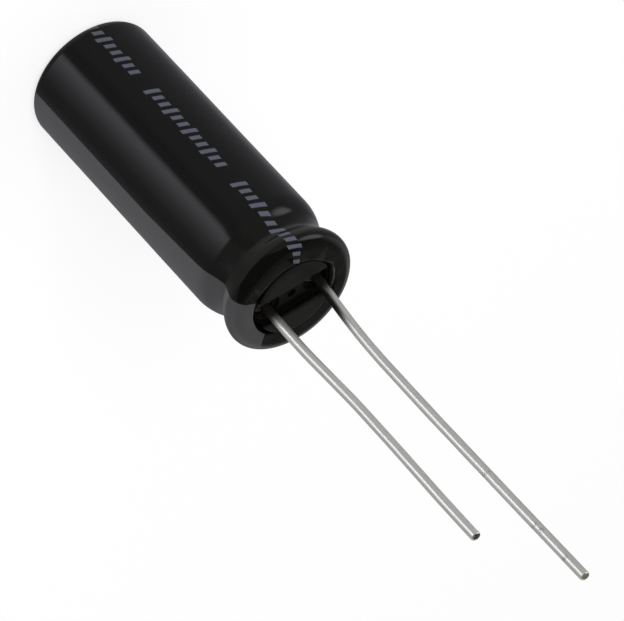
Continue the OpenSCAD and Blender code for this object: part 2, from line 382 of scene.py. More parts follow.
MOTTLE = make_mottle()
HAIRLINES = make_hairlines()
DUST = make_dust()
EDGE_RUB = make_edge_rub()


# Materials


def new_material(name, metallic=0.0, specular=0.5):
    """A material with a bare Principled shader, ready for its nodes."""
    material = bpy.data.materials.new(name)
    material.use_nodes = True
    tree = material.node_tree
    tree.nodes.clear()
    shader = tree.nodes.new("ShaderNodeBsdfPrincipled")
    shader.inputs["Metallic"].default_value = metallic
    shader.inputs["Specular IOR Level"].default_value = specular
    out = tree.nodes.new("ShaderNodeOutputMaterial")
    tree.links.new(shader.outputs[0], out.inputs["Surface"])
    return material, tree, shader


def add_bump(tree, shader, height, depth, strength=1.0):
    """A bump whose full height is a depth in millimetres."""
    bump = tree.nodes.new("ShaderNodeBump")
    bump.inputs["Strength"].default_value = strength
    bump.inputs["Distance"].default_value = depth * MM
    feed(tree, bump.inputs["Height"], height)
    tree.links.new(bump.outputs["Normal"], shader.inputs["Normal"])


def axes(tree):
    """The point's place on the part as three values, in millimetres."""
    parts = add_node(tree, "ShaderNodeSeparateXYZ", None, _0=place_in_mm(tree)).outputs
    return parts[0], parts[1], parts[2]


def round_place(tree):
    """Height above the floor and distance from the axis, in millimetres, and degrees round."""
    x, y, z = axes(tree)
    turn = calc(tree, "DEGREES", calc(tree, "ARCTAN2", y, x))
    off_axis = calc(tree, "SQRT", calc(tree, "ADD", calc(tree, "MULTIPLY", x, x),
                                       calc(tree, "MULTIPLY", y, y)))
    return z, off_axis, turn


def stripe_mask(tree, z, off_axis, turn):
    """The polarity stripe: wider at the neck, narrower where the film is drawn in over the rim."""
    past_rim = calc(tree, "MULTIPLY", calc(tree, "GREATER_THAN", z, BEAD_Z),
                    add_node(tree, "ShaderNodeMapRange", None, Value=off_axis,
                             From_Min=FACE_R - 0.3, From_Max=LIP_R).outputs[0])
    low = add_node(tree, "ShaderNodeMapRange", None, Value=z, From_Min=STRIPE_WIDENS_Z,
                   From_Max=BEAD_Z, To_Min=STRIPE_FROM, To_Max=STRIPE_NECK_FROM).outputs[0]
    high = calc(tree, "MULTIPLY_ADD", past_rim, STRIPE_LIP_TO - STRIPE_TO, STRIPE_TO)
    return between(tree, turn, low, high, 0.6)


def minus_mask(tree, z, turn):
    """Short plain bars along the middle of the stripe: the usual minus signs."""
    across = between(tree, turn, MINUS_AT - MINUS_HALF_TURN, MINUS_AT + MINUS_HALF_TURN, 0.7)
    in_step = calc(tree, "MODULO", calc(tree, "ADD", z, MINUS_SHIFT), MINUS_STEP)
    along = between(tree, in_step, MINUS_FROM, MINUS_TO, 0.05)
    on_side = between(tree, z, 1.0, SHOULDER_Z + 0.4, 0.05)
    return calc(tree, "MULTIPLY", calc(tree, "MULTIPLY", across, along), on_side)


def marks_mask(tree, z, off_axis, turn):
    """Groups of plain slanted bars in one row along the side, in place of printed words."""
    past_rim = calc(tree, "GREATER_THAN", z, BEAD_Z)
    drawn_in = calc(tree, "MULTIPLY", past_rim, calc(tree, "SUBTRACT", FACE_R, off_axis))
    along = calc(tree, "ADD", z, drawn_in)
    arc_mm = calc(tree, "MULTIPLY", calc(tree, "SUBTRACT", turn, MARKS_AT),
                  math.radians(FACE_R))
    slanted = calc(tree, "ADD", along, calc(tree, "MULTIPLY", arc_mm, MARK_SLANT))
    start = calc(tree, "SUBTRACT", slanted, MARK_FIRST_Z)
    group_place = calc(tree, "MODULO", start, MARK_GROUP_STEP)
    in_group = between(tree, group_place, 0.0, MARK_GROUP_LEN, 0.03)
    bar_place = calc(tree, "MODULO", group_place, MARK_STEP)
    bar = between(tree, bar_place, 0.0, MARK_WIDE, 0.045)
    # Every third bar is tall, and the others keep to the middle of the row.
    tall = calc(tree, "LESS_THAN", calc(tree, "MODULO", group_place, 3 * MARK_STEP), MARK_STEP)
    high = calc(tree, "MULTIPLY_ADD", tall, (TALL_MARK_HIGH - LOW_MARK_HIGH) / 2,
                LOW_MARK_HIGH / 2)
    across = calc(tree, "LESS_THAN", calc(tree, "ABSOLUTE", arc_mm), high)
    on_film = between(tree, along, 0.12, BODY_LEN + MARKS_PAST_RIM, 0.03)
    in_row = calc(tree, "MULTIPLY", calc(tree, "MULTIPLY", across, in_group), bar)
    return calc(tree, "MULTIPLY", in_row, on_film)


def sleeve_film():
    """Black shrunk film with a grey printed stripe and grey marks, glossy and a little wavy."""
    material, tree, shader = new_material("sleeve_film", specular=0.3)
    z, off_axis, turn = round_place(tree)
    stripe = calc(tree, "SUBTRACT", stripe_mask(tree, z, off_axis, turn),
                  minus_mask(tree, z, turn))
    stripe = calc(tree, "MAXIMUM", stripe, 0.0)
    marks = marks_mask(tree, z, off_axis, turn)
    black = place_group(tree, MOTTLE, Colour=(0.004, 0.0039, 0.0031, 1), Spread=0.25,
                        Patch_Size=1.6, Grain_Size=0.12, Roughness=0.075,
                        Roughness_Spread=0.03)
    grey = place_group(tree, MOTTLE, Colour=(0.085, 0.085, 0.089, 1), Spread=0.14,
                       Patch_Size=0.9, Grain_Size=0.05, Roughness=0.33, Roughness_Spread=0.1)
    violet_grey = (0.1, 0.105, 0.14, 1)
    # The ink is stretched thinner over the neck.
    thin = calc(tree, "MULTIPLY", rise_to(tree, z, SHOULDER_Z + 0.2, SHOULDER_Z + 1.3), 0.3)
    stripe_ink = calc(tree, "MULTIPLY", stripe, calc(tree, "SUBTRACT", 1.0, thin))
    # A painted highlight pales the ink where the film bends most.
    painted_highlight = between(tree, z, PAINTED_HIGHLIGHT_FROM_Z, PAINTED_HIGHLIGHT_TO_Z, 0.25)
    ink_colour = blend_colours(tree, painted_highlight, grey.outputs["Colour"], (0.2, 0.2, 0.205, 1))
    with_stripe = blend_colours(tree, stripe_ink, black.outputs["Colour"], ink_colour)
    with_marks = blend_colours(tree, marks, with_stripe, violet_grey)
    dusty = place_group(tree, DUST, Colour=with_marks, Dust_Colour=(0.06, 0.06, 0.06, 1),
                        Speck_Size=0.045, Share=0.02, Strength=0.4)
    rubbed = place_group(tree, EDGE_RUB, Colour=dusty.outputs["Colour"],
                         Rubbed_Colour=(0.04, 0.04, 0.04, 1), Start=0.53, Full=0.62,
                         Strength=0.2)
    feed(tree, shader.inputs["Base Color"], rubbed.outputs["Colour"])
    ink = calc(tree, "MAXIMUM", stripe, calc(tree, "MULTIPLY", marks, 0.4))
    rough = calc(tree, "ADD",
                 calc(tree, "MULTIPLY", black.outputs["Roughness"],
                      calc(tree, "SUBTRACT", 1.0, ink)),
                 calc(tree, "MULTIPLY", grey.outputs["Roughness"], ink))
    feed(tree, shader.inputs["Roughness"],
         calc(tree, "ADD", rough, calc(tree, "MULTIPLY", dusty.outputs["Mask"], 0.3)))
    waves = noise_at(tree, place_in_mm(tree), 0.9, 1.0)
    skin = calc(tree, "ADD", calc(tree, "MULTIPLY", waves, 0.85),
                calc(tree, "MULTIPLY", black.outputs["Height"], 0.15))
    add_bump(tree, shader, skin, 0.008, 0.45)
    return material


def bung_rubber():
    """Dull black rubber with a moulded grain. Faces that look up are painted paler as top light,
    and the channel's far foot and ends get painted shade.
    """
    material, tree, shader = new_material("bung_rubber", specular=0.18)
    z, off_axis, turn = round_place(tree)
    facing = tree.nodes.new("ShaderNodeNewGeometry").outputs["Normal"]
    up = add_node(tree, "ShaderNodeSeparateXYZ", None, _0=facing).outputs[2]
    open_face = add_node(tree, "ShaderNodeMapRange", None, Value=z, From_Min=TOP_LIGHT_FROM_Z,
                         From_Max=BODY_LEN).outputs[0]
    # Painted shade darkens the far foot of the channel and its ends, where the painted top light is
    # left out.
    across = calc(tree, "MULTIPLY", off_axis,
                  calc(tree, "SINE", calc(tree, "RADIANS", turn)))
    darkened_foot = calc(tree, "MAXIMUM", rise_to(tree, across, 0.3, 0.75),
                rise_to(tree, off_axis, 1.9, 2.3))
    painted_shade = calc(tree, "MULTIPLY", darkened_foot, calc(tree, "LESS_THAN", z, PAD_Z - 0.2))
    # The pads' edges are round, and get the same painted top light as their tops.
    facing_up = calc(tree, "MAXIMUM", up, rise_to(tree, z, PAD_Z - 0.22, PAD_Z - 0.08))
    painted_top_light = calc(tree, "MULTIPLY", facing_up,
                  calc(tree, "MULTIPLY", open_face, calc(tree, "SUBTRACT", 1.0, painted_shade)))
    # Shaded rubber, and rubber under the painted top light
    colour = blend_colours(tree, painted_top_light, (0.0018, 0.0018, 0.0014, 1),
                           (0.0108, 0.0106, 0.0088, 1))
    base = place_group(tree, MOTTLE, Colour=colour, Spread=0.5,
                       Patch_Size=0.8, Grain_Size=0.07, Roughness=0.6, Roughness_Spread=0.16)
    rubbed = place_group(tree, EDGE_RUB, Colour=base.outputs["Colour"],
                         Rubbed_Colour=(0.02, 0.02, 0.018, 1), Start=0.54, Full=0.65,
                         Strength=0.4)
    dusty = place_group(tree, DUST, Colour=rubbed.outputs["Colour"],
                        Dust_Colour=(0.05, 0.05, 0.045, 1), Speck_Size=0.05, Share=0.04,
                        Strength=0.5)
    feed(tree, shader.inputs["Base Color"], dusty.outputs["Colour"])
    feed(tree, shader.inputs["Roughness"], base.outputs["Roughness"])
    add_bump(tree, shader, base.outputs["Height"], 0.012, 0.7)
    return material


def nicks_mask(tree, x, y, z):
    """Short slanted nicks across the long wire, where tools have touched it."""
    slanted = calc(tree, "ADD", z, calc(tree, "MULTIPLY", y, 0.5))
    nicks = 0.0
    for at, wide in NICKS:
        nicks = calc(tree, "ADD", nicks, between(tree, slanted, at, at + wide, 0.05))
    patchy = noise_at(tree, place_in_mm(tree), 0.22, 1.0)
    broken = add_node(tree, "ShaderNodeMapRange", None, Value=patchy, From_Min=0.42,
                      From_Max=0.55).outputs[0]
    side = calc(tree, "MULTIPLY", calc(tree, "LESS_THAN", x, 0.0),
                rise_to(tree, x, -1.42, -1.2))
    return calc(tree, "MULTIPLY", calc(tree, "MULTIPLY", nicks, broken), side)


def tinned_wire():
    """Tin on steel wire, drawn lengthwise, with small dark pits and nicks, and a painted dark
    reflection at its foot.
    """
    material, tree, shader = new_material("tinned_wire", metallic=0.86)
    x, y, z = axes(tree)
    # The painted dark reflection reaches further up the long wire, on the side of the short one.
    off_centre = calc(tree, "SUBTRACT", x, calc(tree, "MULTIPLY_ADD", z, LEAN, LEAN_X))
    inner_side = calc(tree, "MULTIPLY", calc(tree, "LESS_THAN", x, 0.0),
                      rise_to(tree, off_centre, 0.0, 0.18))
    darkened_foot = rise_to(tree, z, *DARK_REFLECTION_FOOT)
    fading = calc(tree, "MULTIPLY", inner_side, rise_to(tree, z, *DARK_REFLECTION_SIDE))
    painted_dark_reflection = calc(tree, "MAXIMUM", darkened_foot, fading)
    # Bright tin, and the near-black of the painted dark reflection
    colour = blend_colours(tree, painted_dark_reflection, (0.96, 0.95, 0.88, 1), (0.06, 0.056, 0.048, 1))
    base = place_group(tree, MOTTLE, Colour=colour, Spread=0.12,
                       Patch_Size=0.5, Grain_Size=0.05, Stretch=(1, 1, 0.35),
                       Roughness=0.32, Roughness_Spread=0.1)
    lines = place_group(tree, HAIRLINES, Stretch=(1, 1, 0.05), Width=0.035, Share=0.2)
    scratched = blend_colours(tree, calc(tree, "MULTIPLY", lines.outputs["Mask"], 0.25),
                              base.outputs["Colour"], (0.66, 0.65, 0.62, 1))
    pitted = place_group(tree, DUST, Colour=scratched, Dust_Colour=(0.2, 0.19, 0.17, 1),
                         Speck_Size=0.06, Share=0.05, Strength=0.5)
    nicks = nicks_mask(tree, x, y, z)
    nicked = blend_colours(tree, calc(tree, "MULTIPLY", nicks, 0.5), pitted.outputs["Colour"],
                           (0.3, 0.29, 0.26, 1))
    feed(tree, shader.inputs["Base Color"], nicked)
    feed(tree, shader.inputs["Roughness"], base.outputs["Roughness"])
    surface = calc(tree, "ADD", calc(tree, "MULTIPLY", base.outputs["Height"], 0.6),
                   calc(tree, "MULTIPLY", lines.outputs["Height"], 0.4))
    dented = calc(tree, "SUBTRACT", surface, calc(tree, "MULTIPLY", nicks, 1.5))
    add_bump(tree, shader, dented, 0.012, 0.35)
    return material


def wire_cut(name, colour):
    """The bare end where a wire was cut."""
    material, tree, shader = new_material(name, metallic=0.3)
    base = place_group(tree, MOTTLE, Colour=colour, Spread=0.6, Patch_Size=0.2,
                       Grain_Size=0.04, Roughness=0.5, Roughness_Spread=0.2)
    lines = place_group(tree, HAIRLINES, Stretch=(0.1, 1, 1), Width=0.03, Share=0.4)
    feed(tree, shader.inputs["Base Color"],
         blend_colours(tree, calc(tree, "MULTIPLY", lines.outputs["Mask"], 0.4),
                       base.outputs["Colour"], (0.3, 0.26, 0.2, 1)))
    feed(tree, shader.inputs["Roughness"], base.outputs["Roughness"])
    add_bump(tree, shader, base.outputs["Height"], 0.03, 0.6)
    return material


def drawn_metal(name, colour, stretch, rough, spread=0.12, lines_share=0.25, metallic=1.0):
    """Rolled or drawn metal with lines that run one way."""
    material, tree, shader = new_material(name, metallic=metallic)
    base = place_group(tree, MOTTLE, Colour=colour, Spread=spread, Patch_Size=1.2,
                       Grain_Size=0.06, Stretch=stretch, Roughness=rough,
                       Roughness_Spread=0.12)
    lines = place_group(tree, HAIRLINES, Stretch=stretch, Width=0.04, Share=lines_share)
    dull = tuple(0.72 * part for part in colour[:3]) + (1,)
    feed(tree, shader.inputs["Base Color"],
         blend_colours(tree, calc(tree, "MULTIPLY", lines.outputs["Mask"], 0.5),
                       base.outputs["Colour"], dull))
    feed(tree, shader.inputs["Roughness"], base.outputs["Roughness"])
    add_bump(tree, shader, lines.outputs["Height"], 0.01, 0.4)
    return material


def matt_foil(name, colour, grain, rough):
    """Thin foil with a matt, finely pitted face."""
    material, tree, shader = new_material(name, metallic=0.8)
    base = place_group(tree, MOTTLE, Colour=colour, Spread=0.3, Patch_Size=0.7,
                       Grain_Size=grain, Roughness=rough, Roughness_Spread=0.15)
    pits = place_group(tree, DUST, Colour=base.outputs["Colour"],
                       Dust_Colour=(0.3, 0.3, 0.3, 1), Speck_Size=grain, Share=0.2,
                       Strength=0.4)
    feed(tree, shader.inputs["Base Color"], pits.outputs["Colour"])
    feed(tree, shader.inputs["Roughness"], base.outputs["Roughness"])
    add_bump(tree, shader, base.outputs["Height"], 0.008, 0.8)
    return material


def separator_paper():
    """Soft brown paper, damp with electrolyte, with long fibres."""
    material, tree, shader = new_material("separator_paper")
    base = place_group(tree, MOTTLE, Colour=(0.52, 0.44, 0.3, 1), Spread=0.25,
                       Patch_Size=1.1, Grain_Size=0.08, Roughness=0.6, Roughness_Spread=0.15)
    fibres = place_group(tree, HAIRLINES, Stretch=(0.4, 0.4, 1), Width=0.05, Share=0.5)
    feed(tree, shader.inputs["Base Color"],
         blend_colours(tree, calc(tree, "MULTIPLY", fibres.outputs["Mask"], 0.4),
                       base.outputs["Colour"], (0.66, 0.6, 0.46, 1)))
    feed(tree, shader.inputs["Roughness"], base.outputs["Roughness"])
    add_bump(tree, shader, fibres.outputs["Height"], 0.02, 0.7)
    return material


def element_tape():
    """Thin amber tape round the winding, with faint wrinkles."""
    material, tree, shader = new_material("tape")
    base = place_group(tree, MOTTLE, Colour=(0.5, 0.36, 0.13, 1), Spread=0.14,
                       Patch_Size=2.0, Grain_Size=0.2, Roughness=0.32, Roughness_Spread=0.1)
    wrinkles = place_group(tree, HAIRLINES, Stretch=(0.3, 0.3, 1), Width=0.3, Share=0.2)
    feed(tree, shader.inputs["Base Color"],
         blend_colours(tree, calc(tree, "MULTIPLY", wrinkles.outputs["Mask"], 0.25),
                       base.outputs["Colour"], (0.62, 0.5, 0.26, 1)))
    feed(tree, shader.inputs["Roughness"], base.outputs["Roughness"])
    add_bump(tree, shader, wrinkles.outputs["Height"], 0.02, 0.5)
    return material


# Outlines in [distance from axis, height], in millimetres


def arc(centre, radius, start, end, steps, skip=0):
    """Points along an arc in degrees. A following arc skips its first point."""
    points = []
    for i in range(skip, steps + 1):
        turn = math.radians(start + (end - start) * i / steps)
        points.append((centre[0] + radius * math.cos(turn), centre[1] + radius * math.sin(turn)))
    return points


def corner_edge(out, steps):
    """The corner at the flat top, moved outwards by out."""
    centre = (CAN_R - CAN_CORNER_R, CAN_Z + CAN_CORNER_R)
    return arc(centre, CAN_CORNER_R + out, -90, 0, steps)


def neck_edge(out, steps):
    """Shoulder, groove, bead and rolled rim, moved outwards by out."""
    low_hollow = (GROOVE_FLOOR_R + LOW_HOLLOW_R, GROOVE_Z)
    high_hollow = (GROOVE_FLOOR_R + HIGH_HOLLOW_R, GROOVE_Z)
    return (
        arc((CAN_R - SHOULDER_R, SHOULDER_Z), SHOULDER_R + out, 0, SHOULDER_TURN, steps)
        + arc(low_hollow, LOW_HOLLOW_R - out, 180 + SHOULDER_TURN, 180, steps, 1)
        + arc(high_hollow, HIGH_HOLLOW_R - out, 180, 180 - BEAD_TURN, steps, 1)
        + arc((BEAD_CREST_R - BEAD_R, BEAD_Z), BEAD_R + out, -BEAD_TURN, 0, steps, 1)
        + arc((RIM_MID_R, BEAD_Z), RIM_R + out, 0, 90, steps + 6, 1)
    )


def straight(start, end, steps):
    """Points between two ends, without the ends themselves."""
    across, up = end[0] - start[0], end[1] - start[1]
    return [(start[0] + across * i / steps, start[1] + up * i / steps) for i in range(1, steps)]


# Making meshes


def finish_mesh(name, bm, smooth_angle=35):
    """A smooth-shaded object whose edges stay sharp past an angle."""
    bmesh.ops.recalc_face_normals(bm, faces=bm.faces)
    mesh = bpy.data.meshes.new(name)
    bm.to_mesh(mesh)
    bm.free()
    mesh.shade_smooth()
    mesh.set_sharp_from_angle(angle=math.radians(smooth_angle))
    piece = bpy.data.objects.new(name, mesh)
    scene.collection.objects.link(piece)
    return piece


def lathe(name, outline, segments, shift, smooth_angle):
    """A closed ring from a closed outline. shift gives how far a point moves out and up."""
    bm = bmesh.new()
    rows = []
    for i in range(segments):
        turn = 2 * math.pi * i / segments
        row = []
        for r, z in outline:
            out, up = shift(r, z, turn)
            place = ((r + out) * math.cos(turn), (r + out) * math.sin(turn), z + up)
            row.append(bm.verts.new(Vector(place) * MM))
        rows.append(row)
    for i in range(segments):
        here, there = rows[i], rows[(i + 1) % segments]
        for j in range(len(outline)):
            k = (j + 1) % len(outline)
            bm.faces.new((here[j], there[j], there[k], here[k]))
    return finish_mesh(name, bm, smooth_angle)


# The sleeve


def off_turn(turn, degrees):
    """How far a turn lies from a place in degrees, from -180 to 180."""
    return (math.degrees(turn) - degrees + 180) % 360 - 180


def hump(distance, reach):
    """1 at no distance, falling smoothly to nothing past about twice the reach."""
    return math.exp(-(distance / reach) ** 2)


def taut_outline():
    """The film's outer face where it spans the groove: two straight cones that meet in a crease."""
    turn = math.radians(SPAN_TILT)
    top_r = FACE_R - SPAN_SHOULDER_R * (1 - math.cos(turn))
    top_z = SPAN_CREASE_Z - (top_r - SPAN_CREASE_R) / math.tan(turn)
    start_z = top_z - SPAN_SHOULDER_R * math.sin(turn)
    end_r = RIM_MID_R + math.sqrt((RIM_R + FILM_OUT) ** 2 - SPAN_END_RISE ** 2)
    return (
        [(FACE_R, SHOULDER_Z)]
        + arc((FACE_R - SPAN_SHOULDER_R, start_z), SPAN_SHOULDER_R, 0, SPAN_TILT, 8)
        + [(SPAN_CREASE_R, SPAN_CREASE_Z), (FOLD_R, FOLD_Z), (end_r, BEAD_Z + SPAN_END_RISE)]
    )


def along_line(points, place):
    """The second value at one place along points whose first values rise."""
    for (x0, y0), (x1, y1) in zip(points, points[1:]):
        if x0 <= place <= x1:
            return y0 + (y1 - y0) * (place - x0) / max(x1 - x0, 1e-6)
    return points[-1][1]


TAUT = [(z, r) for r, z in taut_outline()]
SMOOTH_NECK = [(z, r) for r, z in neck_edge(FILM_OUT, 14)]


def ramp_up(value, low, high):
    """0 below one value, 1 above the other, and straight between them."""
    return min(1.0, max(0.0, (value - low) / (high - low)))


def span_shift(z, turn):
    """How far the taut span and the ridge of the fold stand out from the smooth neck."""
    if not TAUT[0][0] < z < TAUT[-1][0]:
        return 0.0
    reach = TAUT_REACH if z < SPAN_CREASE_Z else FOLD_WIDE
    span = along_line(TAUT, z) - along_line(SMOOTH_NECK, z)
    return span * hump(off_turn(turn, TAUT_AT), reach)


def fold_depth(r, z, turn):
    """How far a point is pressed in by the fold's upper face, which is flat and leans inwards."""
    off_fold = off_turn(turn, FOLD_AT) / FOLD_REACH
    if abs(off_fold) >= 1 or z <= FOLD_Z - FOLD_BELOW:
        return 0.0
    lean = math.radians(FOLD_LEAN)
    face = FOLD_NEAR + (RIM_R + FILM_OUT - FOLD_NEAR) * off_fold ** 2
    over = (r - RIM_MID_R) * math.cos(lean) + (z - BEAD_Z) * math.sin(lean) - face
    return 0.5 * (over + math.hypot(over, FOLD_SOFT * min(1.0, 3 * (1 - off_fold ** 2))))


def film_shift(r, z, turn):
    """Heat-shrunk film is never quite even: slow waves, a taut span, and a fold at the crest."""
    x, y = math.cos(turn), math.sin(turn)
    slow = noise.noise(Vector((x * 1.3, y * 1.3, z * 0.16)))
    tight = noise.noise(Vector((x * 3.1 + 7, y * 3.1, z * 0.7)))
    neck = ramp_up(z, SHOULDER_Z, SHOULDER_Z + 1.5)
    out = 0.006 * slow + (0.002 + 0.006 * neck) * tight + span_shift(z, turn)
    if z < SHOULDER_Z:
        # The ring at the flat top is a little uneven.
        inward = 1 - ramp_up(r, FACE_R - 1.05, FACE_R - 0.35)
        return out + inward * 0.04 * noise.noise(Vector((x * 2.2, y * 2.2, 11.0))), 0.0
    depth = fold_depth(r + out, z, turn)
    out -= depth * math.cos(math.radians(FOLD_LEAN))
    up = -depth * math.sin(math.radians(FOLD_LEAN))
    if z > BEAD_Z:
        # The open ring at the leads is drawn in over both pads.
        inward = 1 - ramp_up(r, FACE_R - 1.3, FACE_R - 0.45)
        edge = along_line(LIP_RADII, math.degrees(turn) % 360)
        out += inward * (edge - LIP_R + 0.012 * tight)
        up += inward * 0.015 * tight
    return out, up


def add_sleeve(film):
    """The film covers the side, the corner and the rolled rim, and ends in two open rings."""
    lip_round = FILM_T / 2
    outer = (
        [(TOP_RING_R + lip_round, 0.0)]
        + straight((TOP_RING_R + lip_round, 0.0), (CAN_R - CAN_CORNER_R, 0.0), 4)
        + corner_edge(FILM_OUT, 12)
        + straight((FACE_R, CAN_Z + CAN_CORNER_R), (FACE_R, SHOULDER_Z), 56)
        + neck_edge(FILM_OUT, 14)
        + straight((RIM_MID_R, BODY_LEN), (LIP_R + lip_round, BODY_LEN), 5)
    )
    lip = arc((LIP_R + lip_round, BODY_LEN - lip_round), lip_round, 90, 270, 10)
    inner = (
        list(reversed(neck_edge(FILM_GAP, 8)))
        + list(reversed(corner_edge(FILM_GAP, 6)))
    )
    ring_end = arc((TOP_RING_R + lip_round, lip_round), lip_round, 90, 270, 10)
    outline = outer[1:] + lip + inner + ring_end
    sleeve = lathe("shrunk_sleeve", outline, 288, film_shift, 19.5)
    sleeve.data.materials.append(film)
    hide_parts("sleeve")
    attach(sleeve, "root")


# The bung


BUNG_VOXEL = 0.055


def add_bung(rubber):
    """The moulded bung with its edges softened as rubber's are."""
    mesh = nodes["bung"].data.copy()
    mesh.name = "moulded_bung"
    mesh.transform(Matrix.Scale(1 / MM, 4))
    piece = bpy.data.objects.new("moulded_bung", mesh)
    scene.collection.objects.link(piece)
    remesh = piece.modifiers.new("even_faces", "REMESH")
    remesh.mode = "VOXEL"
    remesh.voxel_size = BUNG_VOXEL
    soften = piece.modifiers.new("soften", "SMOOTH")
    soften.factor = 0.5
    soften.iterations = 4
    depsgraph = bpy.context.evaluated_depsgraph_get()
    made = bpy.data.meshes.new_from_object(piece.evaluated_get(depsgraph))
    piece.modifiers.clear()
    piece.data = made
    made.name = "moulded_bung"
    made.transform(Matrix.Scale(MM, 4))
    made.shade_smooth()
    made.materials.clear()
    made.materials.append(rubber)
    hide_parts("bung")
    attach(piece, "root")


# The leads


REACH_OF_BEND = 1.1
WIRE_FACES = 28
TIP_STEPS = 4


def eased(points, reach, steps=6):
    """The same route with each inner corner rounded, over less where a stretch is short."""
    route = [points[0]]
    for before, corner, after in zip(points, points[1:], points[2:]):
        near = min(reach, 0.45 * (before - corner).length, 0.45 * (after - corner).length)
        start = corner + (before - corner).normalized() * near
        end = corner + (after - corner).normalized() * near
        for i in range(steps + 1):
            t = i / steps
            route.append(start * (1 - t) ** 2 + corner * 2 * t * (1 - t) + end * t ** 2)
    route.append(points[-1])
    return route


def between_points(route, step):
    """Adds points so that no stretch is longer than a step."""
    dense = [route[0]]
    for a, b in zip(route, route[1:]):
        parts = max(1, round((b - a).length / step))
        dense += [a.lerp(b, i / parts) for i in range(1, parts + 1)]
    return dense


def wire_ring(bm, centre, along, radius, slant=0.0):
    """One ring of a wire's vertices. slant tips the ring, as a cutter leaves it."""
    side = along.cross(Vector((0, 1, 0))).normalized()
    ring = []
    for i in range(WIRE_FACES):
        turn = 2 * math.pi * i / WIRE_FACES
        wobble = 0.006 * noise.noise(centre * 0.8 + Vector((math.cos(turn), math.sin(turn), 0)))
        spoke = side * math.cos(turn) + Vector((0, math.sin(turn), 0))
        tipped = along * slant * math.cos(turn + 0.8)
        ring.append(bm.verts.new((centre + spoke * (radius + wobble) + tipped) * MM))
    return ring


def add_lead(name, cad_node, points, tip_round, tin, cut):
    """A wire through points in the plane of the leads, with a rounded and cut tip."""
    route = between_points(eased([Vector((x, 0, z)) for x, z in points], REACH_OF_BEND), 0.5)
    last = len(route) - 1
    bm = bmesh.new()
    rings = []
    for i, point in enumerate(route[:-1]):
        along = (route[i + 1] - route[max(i - 1, 0)]).normalized()
        rings.append(wire_ring(bm, point, along, LEAD_R))
    along = (route[last] - route[last - 1]).normalized()
    base = route[last] - along * tip_round
    for i in range(TIP_STEPS + 1):
        bend = math.radians(90 * i / TIP_STEPS)
        rings.append(wire_ring(bm, base + along * tip_round * math.sin(bend), along,
                               LEAD_R - tip_round * (1 - math.cos(bend)), 0.02 * math.sin(bend)))
    for here, there in zip(rings, rings[1:]):
        for i in range(WIRE_FACES):
            j = (i + 1) % WIRE_FACES
            bm.faces.new((here[i], here[j], there[j], there[i]))
    bm.faces.new(list(reversed(rings[0])))
    bm.faces.new(rings[-1])
    cut_from = (points[-1][1] - tip_round * 0.12) * MM
    for face in bm.faces:
        if face.calc_center_median().z > cut_from:
            face.material_index = 1
    piece = finish_mesh(name, bm, 50)
    piece.data.materials.append(tin)
    piece.data.materials.append(cut)
    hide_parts(cad_node)
    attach(piece, "root")


# The wires run in the plane y = 0 and are nearly straight; points are [x, z].
CATHODE_ROUTE = ((LEAD_X, WIRE_FOOT_Z), (LEAD_X + 0.01, WIRE_EXIT_Z + 0.2), (1.83, 24.9),
                 (1.68, 29.6), (1.7, 33.5), (1.78, 38.4), (1.77, SHORT_TIP_Z))
ANODE_ROUTE = ((-LEAD_X, WIRE_FOOT_Z), (-LEAD_X + 0.01, WIRE_EXIT_Z + 0.2), (-1.34, 25.2),
               (-1.22, 27.6), (-1.19, 33.0), (-1.24, 40.0), (-1.31, BODY_LEN + LONG_WIRE_LEN))


# Stage and light

WORLD_LEVEL = 0.55
KEY_LEVEL = 0.42
KEY_PLACE = Vector((50.0, -260.0, 300.0)) * MM
KEY_AIM = Vector((0.0, 0.0, BODY_LEN / 2)) * MM
KEY_SIZE = 160.0 * MM
FLOOR_R = 3000.0 * MM
FLOOR_Z = -0.02 * MM
FLOOR_GLOW = 1.14
FLOOR_GLOW_SHARE = 0.66


def add_floor():
    """A pale floor that the camera sees as white, and that keeps a soft shadow."""
    bm = bmesh.new()
    bmesh.ops.create_circle(bm, cap_ends=True, segments=64, radius=FLOOR_R)
    floor = finish_mesh("pale_floor", bm)
    floor.location.z = FLOOR_Z
    material = bpy.data.materials.new("pale_floor")
    material.use_nodes = True
    tree = material.node_tree
    tree.nodes.clear()
    paper = add_node(tree, "ShaderNodeBsdfDiffuse", None, Color=(0.92, 0.92, 0.92, 1))
    glow = add_node(tree, "ShaderNodeEmission", None, Color=(1, 1, 1, 1), Strength=FLOOR_GLOW)
    path = tree.nodes.new("ShaderNodeLightPath")
    share = calc(tree, "MULTIPLY", path.outputs["Is Camera Ray"], FLOOR_GLOW_SHARE)
    mixed = add_node(tree, "ShaderNodeMixShader", None, _0=share, _1=paper.outputs[0],
                     _2=glow.outputs[0])
    add_node(tree, "ShaderNodeOutputMaterial", None, Surface=mixed.outputs[0])
    floor.data.materials.append(material)
    floor.visible_glossy = False


def ramp(tree, value, stops):
    """A grey ramp; each stop is a place from 0 to 1 and a level."""
    node = tree.nodes.new("ShaderNodeValToRGB")
    elements = node.color_ramp.elements
    while len(elements) < len(stops):
        elements.new(0.5)
    for element, (place, level) in zip(elements, stops):
        element.position = place
        element.color = (level, level, level, 1)
    feed(tree, node.inputs["Fac"], value)
    return node.outputs["Color"]


def around(degrees):
    """A direction in degrees from the camera's side, as a place along the ramp."""
    return 0.5 + degrees / 360


# What gloss shows a little below the horizon: a soft window to one side of the camera, a dark
# room round it, and the pale paper behind the part.
WINDOW_STOPS = (
    (around(-180), 0.25), (around(-165), 0.25), (around(-120), 0.3), (around(-92), 0.32),
    (around(-76), 0.2), (around(-60), 0.29), (around(-42), 0.66), (around(-26), 1.3),
    (around(-19), 1.66), (around(-13.5), 1.66), (around(-5.5), 0.25), (around(8), 0.2),
    (around(22), 0.3), (around(80), 0.28), (around(105), 0.26), (around(130), 0.23),
    (around(152), 0.29), (around(180), 0.25),
)
